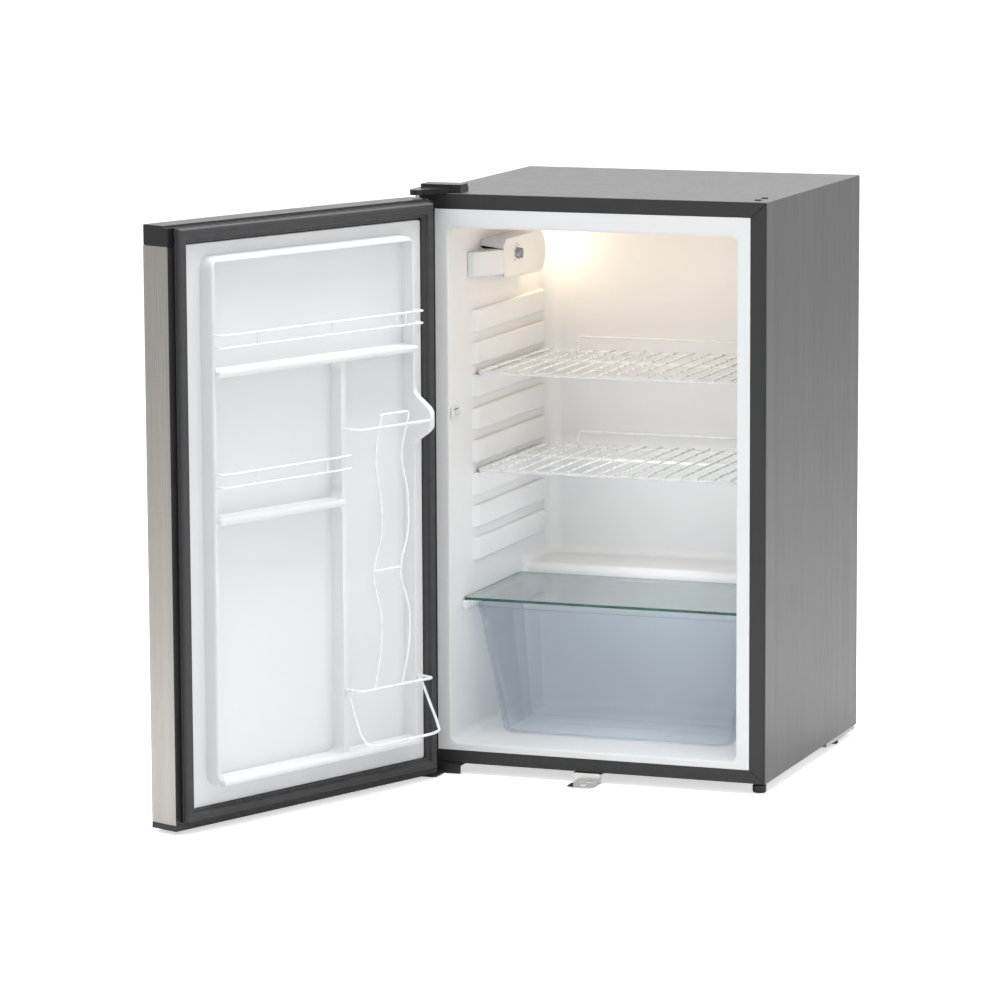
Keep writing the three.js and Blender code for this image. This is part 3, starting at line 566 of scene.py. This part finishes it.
knobSet = {"at": (-172, 178, 697), "radius": 8, "grip": 7, "ticks": 9, "tickRing": 11.5, "tickTurn": 270}


def makeThermostat(s):
    softened("thermostat_housing", 2.4, whitePlastic, steps=4)
    x, y, z = s["at"]
    bm = bmesh.new()
    for i in range(s["ticks"]):
        angle = math.radians(s["tickTurn"] * (0.5 - i / (s["ticks"] - 1)))
        length = 3.2 if i % 4 == 0 else 2.0  # the first, middle and last marks are longer
        made = addBox(bm, (-0.15, -0.45, s["tickRing"]), (0.35, 0.45, s["tickRing"] + length))
        bmesh.ops.translate(bm, vec=(0, -frontPlane, 0), verts=made)
        bmesh.ops.rotate(bm, matrix=Matrix.Rotation(angle, 3, "X"), verts=made)
        bmesh.ops.translate(bm, vec=spot(x, y, z), verts=made)
    finishPiece("dialTicks", bm, blackPaint, "cabinet")
    bm = bmesh.new()
    r = s["radius"]
    faceX = Matrix.Translation(spot(x, y, z)) @ Matrix.Rotation(math.radians(90), 4, "Y")
    addTurned(bm, ((0, 0.4), (r, 0.4), (r, 2.2), (r - 0.7, 3.0), (r - 1.2, 6.8), (r - 2.2, 7.8), (r - 3.4, 8),
                   (0, 7.6)), faceX)
    addBox(bm, (x + 5.5, y - 1.3, z - s["grip"]), (x + 9, y + 1.3, z + s["grip"]), rounding=0.8, steps=3)
    finishPiece("knobCap", bm, knobMetal, "thermostat_knob", ("thermostat_knob",))


bulbSet = {"profile": ((0, 58), (4, 57.2), (8, 53), (11, 46), (12.8, 37), (13, 30), (11.6, 22), (8.6, 15),
                       (7, 10), (7, 8)),
           "cap": ((7.1, 9), (7.4, 8), (6.7, 7), (7.3, 6), (6.6, 5), (7.2, 4), (6.5, 3), (6.8, 2), (5, 0.4),
                   (0, 0.2)),
           "at": (-189.5, 268.4, 690)}


def makeBulb(s):
    place = Matrix.Translation(spot(*s["at"])) @ Matrix.Rotation(math.radians(-90), 4, "X")
    bm = bmesh.new()
    addTurned(bm, s["profile"], place)
    finishPiece("bulbGlass", bm, lampGlass, "cabinet", ("lamp_bulb",))
    bm = bmesh.new()
    addTurned(bm, s["cap"], place)
    finishPiece("bulbCap", bm, brass, "cabinet")


def makeSlitShade():
    # a black strip across the upper part of the switch's face: painted shade that stands in for the shadow
    # inside a slit
    low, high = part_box("switch_body")
    middle = (low + high) / 2
    bm = bmesh.new()
    made = bmesh.ops.create_cube(bm, size=1)["verts"]
    bmesh.ops.scale(bm, vec=(0.0006, (high.y - low.y) * 0.72, 0.0012), verts=made)
    bmesh.ops.translate(bm, vec=(high.x + 0.0001, middle.y, middle.z + 0.0048), verts=made)
    roundOver(bm, bm.edges[:], 0.2, 1, clamp=False)
    # black plastic here is painted shade for the slit's dark inside, not a cut
    finishPiece("switchSlitShade", bm, blackPlastic, "cabinet")


makeThermostat(knobSet)
makeBulb(bulbSet)
makeSlitShade()
print("lamp and thermostat done")

backSet = {"ribs": 5, "ribTall": 16, "ribEnds": 70, "ribInset": 30, "margin": 26, "screws": 5}


def makeRearPanel(s):
    low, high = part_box("rear_panel")
    x, z0, z1 = high.x * 1000, low.z * 1000, high.z * 1000
    y, margin = (low.y - frontPlane) * 1000, s["margin"]
    bm = bmesh.new()
    addPanel(bm, (-x, x), (z0, z1), y, 0,
             ((0.05, 0.85), (0.4, 0.15), (margin, 0), (1.5, -0.35), (3, 0), (1.5, 0.35)))
    firstRib = z0 + margin + s["ribInset"]
    pitch = (z1 - margin - s["ribInset"] - firstRib) / (s["ribs"] - 1)
    for i in range(s["ribs"]):
        z = firstRib + pitch * i
        addPanel(bm, (-x + s["ribEnds"], x - s["ribEnds"]), (z - s["ribTall"] / 2, z + s["ribTall"] / 2),
                 y + 0.9, 7.5, ((0.6, 0.5), (1.2, 0.7), (1.8, 0.3)))
    finishPiece("rearSheet", bm, galvanised, "cabinet", ("rear_panel",))
    bm = bmesh.new()
    for i in range(s["screws"]):
        z = z0 + 14 + (z1 - z0 - 28) * i / (s["screws"] - 1)
        for way in (-1, 1):
            addScrew(bm, spot(way * (x - 12), y + 1, z), (0, 1, 0), 3.8, 1.8)
    for across in (-150, 0, 150):
        addScrew(bm, spot(across, y + 1, z1 - 12), (0, 1, 0), 3.8, 1.8)
    finishPiece("rearScrews", bm, polishedSteel, "cabinet")


tubeSet = {"discharge": ((-122.4, 389, 60), (-166, 389, 60), (-166, 430, 70), (-166, 430, 184),
                         (120, 430, 184), (120, 400, 184), (120, 400, 140.4)),
           "suction": ((-122.4, 389, 100), (-152, 389, 100), (-152, 389, 194.5)), "thin": 5, "thick": 7}


def makeTubes(s):
    bm = bmesh.new()
    addWire(bm, roundedPath([spot(*p) for p in s["discharge"]], 0.011, 8), s["thin"], 4)
    finishPiece("dischargePipe", bm, copper, "cabinet", ("discharge_tube",))
    bm = bmesh.new()
    addWire(bm, roundedPath([spot(*p) for p in s["suction"]], 0.014, 8), s["thick"], 4)
    finishPiece("suctionPipe", bm, darkRubber, "cabinet", ("suction_tube",))
    bm = bmesh.new()
    for z, r in ((60, 3.4), (100, 4.4)):  # brazed collars where the pipes leave the shell
        place = Matrix.Translation(spot(-121.6, 389, z)) @ Matrix.Rotation(math.radians(-90), 4, "Y")
        addTurned(bm, ((r - 0.8, 0), (r, 0.6), (r, 4), (r - 0.7, 5.5)), place, 20)
    place = Matrix.Translation(spot(-75, 389, 70))
    addTurned(bm, ((46.6, -2.4), (48.4, -1.8), (48.7, 0), (48.4, 1.8), (46.6, 2.4)), place, 48)
    finishPiece("shellSeam", bm, compressorBlack, "cabinet")


def makeFixings():
    bm = bmesh.new()
    for x in (-190, -60, 60, 190):  # bay cover
        addScrew(bm, spot(x, 336, 150), (0, 1, 0), 3.8, 1.8)
    for x in (-228, -202):  # bottom hinge bracket
        addScrew(bm, spot(x, 34, -3.3), (0, 0, -1), 3.4, 1.6)
    for x in (-17, 7):  # lock strike
        addScrew(bm, spot(x, 14, -1.8), (0, 0, -1), 3.2, 1.4)
    for x in (-200, 200):  # base plate
        for y in (315, 432):
            addScrew(bm, spot(x, y, -7.5), (0, 0, -1), 3.8, 1.8)
    finishPiece("fixingScrews", bm, polishedSteel, "cabinet")
    bm = bmesh.new()
    low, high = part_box("compressor_terminal_box")
    near, far, reach = low.y - 0.0012, high.y + 0.0012, high.x + 0.0016
    clip = [Vector((low.x + 0.008, near, low.z - 0.002)), Vector((reach, near, low.z + 0.02)),
            Vector((reach, far, low.z + 0.02)), Vector((low.x + 0.008, far, low.z - 0.002))]
    addWire(bm, roundedPath(clip, 0.004), 1.8)
    finishPiece("terminalClip", bm, polishedSteel, "cabinet")


makeRearPanel(backSet)
makeTubes(tubeSet)
makeFixings()
print("small parts done")

doorSet = {"plateHalf": 222.6, "plate": (16.4, 763.6), "face": -12.4, "ridgeHalf": 195, "ridge": (42, 748),
           "crest": 8, "pocketBack": -27.6, "corner": 11, "draft": 1.6,
           "pockets": ((-186, 186, 597, 739), (-46, 186, 402, 588), (-46, 186, 54, 393),
                       (-186, -54, 54, 588)),
           "lips": ((-46, 188, 402), (-188, 188, 597), (-188, 188, 54)), "lipReach": 17,
           "ear": (456, 538, 8, 40)}


def placeDoor(bm):
    bmesh.ops.transform(bm, matrix=doorPlace, verts=bm.verts)


def addEar(bm, s):
    # the side wall swells out in one soft curve to hold the can rack's upper bar
    low, high, flatHalf, reach = s["ear"]
    old = set(bm.verts)
    bmesh.ops.create_grid(bm, x_segments=1, y_segments=28, size=0.5)
    made = [v for v in bm.verts if v not in old]
    for v in made:
        z = low + (high - low) * (v.co.y + 0.5)
        away = max(0, abs(z - (low + high) / 2) - flatHalf) / ((high - low) / 2 - flatHalf)
        crown = 6 + (reach - 6) * 0.5 * (1 + math.cos(math.pi * min(1, away)))
        v.co = spot(-194.6, crown if v.co.x > 0 else s["face"], z)
    faces = [f for f in bm.faces if all(v not in old for v in f.verts)]
    out = bmesh.ops.extrude_face_region(bm, geom=faces)["geom"]
    bmesh.ops.translate(bm, vec=(0.009, 0, 0), verts=only(BMVert, out))
    rims = [e for e in bm.edges if all(v not in old for v in e.verts) and e.calc_face_angle(0) > 1
            and e.calc_length() < 0.008]
    roundOver(bm, rims, 2.4, 3)


def makeDoorSkin():
    finishPiece("doorSkin", mergedCopy("door_skin"), stainless, "door", ("door_skin",), smooth=25)


def makeDoorLiner(s):
    bm = bmesh.new()
    face, half, crest = s["face"], s["ridgeHalf"], s["crest"]
    addPanel(bm, (-s["plateHalf"], s["plateHalf"]), s["plate"], face - 3, 4, ((0.2, 2.2), (0.8, 0.8)))
    top = addPanel(bm, (-half, half), s["ridge"], face - 0.4, 18,
                   ((1.6, 1.2), (1.8, 14.6), (1.0, 3.0), (1.6, 1.4)))
    cells, topLevel = [top], top.verts[0].co.y
    for x0, x1, low, high in s["pockets"]:  # the crest is divided along every pocket's outline
        for at, facing in ((spot(x0, 0, 0), (1, 0, 0)), (spot(x1, 0, 0), (1, 0, 0)),
                           (spot(0, 0, low), (0, 0, 1)), (spot(0, 0, high), (0, 0, 1))):
            sides, points = {e for f in cells for e in f.edges}, {v for f in cells for v in f.verts}
            geom = [*cells, *sides, *points]
            cut = bmesh.ops.bisect_plane(bm, geom=geom, plane_co=at, plane_no=facing, dist=0.00001)["geom"]
            cells = only(BMFace, cut)
    for x0, x1, low, high in s["pockets"]:
        crestFaces = [f for f in bm.faces if all(abs(v.co.y - topLevel) < 0.00001 for v in f.verts)]
        middles = [(f, f.calc_center_median() * 1000) for f in crestFaces]
        floor = [f for f, middle in middles if x0 < middle.x < x1 and low < middle.z < high]
        if len(floor) > 1:
            floor = bmesh.ops.dissolve_faces(bm, faces=floor, use_verts=False)["region"]
        bmesh.ops.inset_region(bm, faces=floor, thickness=s["draft"] / 1000,
                               depth=(s["pocketBack"] - crest) / 1000, use_even_offset=True)
        upright = [e for e in {e for f in floor for v in f.verts for e in v.link_edges}
                   if abs(e.verts[0].co.y - e.verts[1].co.y) > 0.02]
        roundOver(bm, upright, s["corner"], 6)
    within = (half - 6) / 1000
    rims = [e for e in bm.edges if len(e.link_faces) == 2 and e.calc_face_angle(0) > 1
            and abs(e.verts[0].co.y - e.verts[1].co.y) < 0.0001
            and all(abs(v.co.x) < within for v in e.verts)]
    roundOver(bm, rims, 2.8, 4)
    for x0, x1, at in s["lips"]:  # the lip along a ledge's front
        addBox(bm, (x0, crest - 4, at - 9), (x1, s["lipReach"], at), rounding=3.4, steps=4)
    addEar(bm, s)
    placeDoor(bm)
    finishPiece("doorTub", bm, whiteLiner, "door", ("door_liner",), smooth=50)


gasketSet = {"half": 239, "span": (0.5, 786.5), "back": -12.1, "topWide": 1.3,
             "profile": ((0.2, 3.2), (0.9, 0.2), (0.4, 1.0), (-0.9, 0.3), (0.2, 3.6), (0.6, 1.6), (1.3, 0.9),
                         (2.6, 0.5), (0.9, -0.5), (0.9, 0.5), (2.6, 0.0), (1.2, -0.6), (0.8, -2.0),
                         (0.6, -3.4), (2.6, -1.4), (1.2, -3.9))}


def makeGasket(s):
    bm = bmesh.new()
    face = addPanel(bm, (-s["half"], s["half"]), s["span"], s["back"], 0, s["profile"])
    bmesh.ops.delete(bm, geom=[face], context="FACES_ONLY")
    top = s["span"][1] / 1000
    for v in bm.verts:
        if v.co.z > top / 2:  # the seal is wider along the door's top
            v.co.z = top - (top - v.co.z) * s["topWide"]
    bmesh.ops.bridge_loops(bm, edges=[e for e in bm.edges if e.is_boundary])
    placeDoor(bm)
    finishPiece("doorSeal", bm, gasketRubber, "door", ("door_gasket",), smooth=40)


wireSet = {"rail": 3, "reach": 24, "bend": 6, "upper": (628, 644.5), "lower": (444, 461.5)}


def makeBinRail(name, node, ends, feet, heights, uprights, s):
    bm = bmesh.new()
    (x0, x1), (y0, y1) = ends, feet
    for z in heights:
        corners = [spot(x0, y0, z), spot(x0, s["reach"], z), spot(x1, s["reach"], z), spot(x1, y1, z)]
        addWire(bm, roundedPath(corners, s["bend"] / 1000), s["rail"])
    for x in uprights:
        post = [spot(x, s["reach"] - 0.3, z) for z in (heights[0] - 1, heights[1] + 1)]
        addWire(bm, post, s["rail"])
    placeDoor(bm)
    finishPiece(name, bm, whiteCoat, "door", (node,))


rackSet = {"bar": 4, "wave": 3.4, "face": 37, "first": (-92, -81, -90, -91, -75, -89, -88, -75),
           "second": (-145, -131, -142, -142, -127, -143, -142, -128), "span": (508, 138), "cross": 3,
           "hoop": ((-50, 11, 139), (-47, 28, 103), (-46, 42, 78), (-58, 50, 67), (-120, 50, 66),
                    (-181, 50, 67), (-190, 45, 76), (-191, 30, 103), (-190, 12, 139))}


def makeCanRack(s):
    bm = bmesh.new()
    face = s["face"]
    high = [spot(-50, 6.3, 496), spot(-50, face, 496), spot(-186, face, 496)]
    addWire(bm, roundedPath(high, 0.009), s["bar"], 4)
    start, end = s["span"]
    for row in (s["first"], s["second"]):
        marks = [spot(x, face, start + (end - start) * i / (len(row) - 1)) for i, x in enumerate(row)]
        addWire(bm, smoothPath(marks, 7), s["wave"], 4)
    a, b = s["first"][0], s["second"][0]
    link = [spot(a, face, 504), spot(a, face, 513), spot(b, face, 513), spot(b, face, 504)]
    addWire(bm, roundedPath(link, 0.005), s["wave"], 4)
    addWire(bm, [spot(-73, face, 302), spot(-129, face, 302)], s["cross"])
    low = [spot(-50, 6.3, 140), spot(-50, face, 140), spot(-190, face, 140), spot(-190, 8.3, 140)]
    addWire(bm, roundedPath(low, 0.008), s["bar"], 4)
    addWire(bm, smoothPath([spot(*p) for p in s["hoop"]], 8), s["bar"], 4)
    placeDoor(bm)
    finishPiece("canRackWires", bm, whiteCoat, "door", ("can_rack",))


makeDoorSkin()
makeDoorLiner(doorSet)
makeGasket(gasketSet)
makeBinRail("binRailUpper", "bin_rail_upper", (-190.5, 190.5), (8.3, 8.3), wireSet["upper"],
            (-155, -137.5, -15, 124.5), wireSet)
makeBinRail("binRailLower", "bin_rail_lower", (-50, 190.5), (6.3, 8.3), wireSet["lower"], (-2, 126), wireSet)
makeCanRack(rackSet)
print("door done")

roomSet = {"sky": 0.74, "keyPower": 26, "topPower": 210,
           "floor": (0.75, 0.75, 0.75), "glow": 0.6, "bounce": 0.02,  # bounce: the glow thrown back
           "lampPower": 0.17, "lampSpot": (-198, 356, 692), "warmPower": 0.6, "warmSpot": (20, 190, 690),
           "fillPower": 0.6, "fillSpot": (10, 190, 330), "lowPower": 0.1, "lowSpot": (0, 150, 130)}


def makeRoom(s):
    world = bpy.data.worlds.new("room")
    world.use_nodes = True
    world.node_tree.nodes["Background"].inputs["Color"].default_value = (1, 1, 1, 1)
    world.node_tree.nodes["Background"].inputs["Strength"].default_value = s["sky"]
    bpy.context.scene.world = world
    bpy.context.scene.view_settings.view_transform = "Standard"
    bm = bmesh.new()
    bmesh.ops.create_grid(bm, x_segments=1, y_segments=1, size=60)
    bmesh.ops.translate(bm, vec=(0, 0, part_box("rear_foot_left")[0].z), verts=bm.verts)
    mesh = bpy.data.meshes.new("floor")
    bm.to_mesh(mesh)
    bm.free()
    paper = startMaterial("floorPaper", s["floor"], 0.9)
    shader = paper.node_tree.nodes["Principled BSDF"]
    shader.inputs["Emission Color"].default_value = (1, 1, 1, 1)
    driveRoughness(paper, addNoise(paper, 3), 0.85, 0.95)
    rays = paper.node_tree.nodes.new("ShaderNodeLightPath")
    glow = addRange(paper, rays.outputs["Is Camera Ray"], s["bounce"], s["glow"], (0, 1))
    paper.node_tree.links.new(glow, shader.inputs["Emission Strength"])
    mesh.materials.append(paper)
    floor = bpy.data.objects.new("floor", mesh)
    bpy.context.scene.collection.objects.link(floor)
    for name, power, size, at, aim in (
        ("key", s["keyPower"], 3.0, (1.2, -4.6, 3.0), (0, 0, 0.4)),
        ("top", s["topPower"], 2.5, (0, 0, 3.6), (0, 0, 0.5)),
    ):
        lamp = bpy.data.lights.new(name, "AREA")
        lamp.energy, lamp.size = power, size
        holder = bpy.data.objects.new(name, lamp)
        holder.location = at
        holder.rotation_mode = "QUATERNION"
        holder.rotation_quaternion = (Vector(aim) - Vector(at)).to_track_quat("-Z", "Y")
        bpy.context.scene.collection.objects.link(holder)
    for name, power, at, soft, colour in (
        ("bulbLight", s["lampPower"], s["lampSpot"], 0.012, (1.0, 0.76, 0.5)),
        ("warmFill", s["warmPower"], s["warmSpot"], 0.05, (1.0, 0.76, 0.52)),
        ("coolFill", s["fillPower"], s["fillSpot"], 0.06, (0.96, 0.98, 1.0)),
        ("lowFill", s["lowPower"], s["lowSpot"], 0.05, (0.93, 0.97, 1.0)),
    ):
        bulb = bpy.data.lights.new(name, "POINT")
        bulb.energy, bulb.color, bulb.shadow_soft_size = power, colour, soft
        holder = bpy.data.objects.new(name, bulb)
        holder.location = spot(*at)
        holder.visible_camera = holder.visible_glossy = holder.visible_transmission = False  # unseen
        bpy.context.scene.collection.objects.link(holder)


makeRoom(roomSet)
print("room lit")
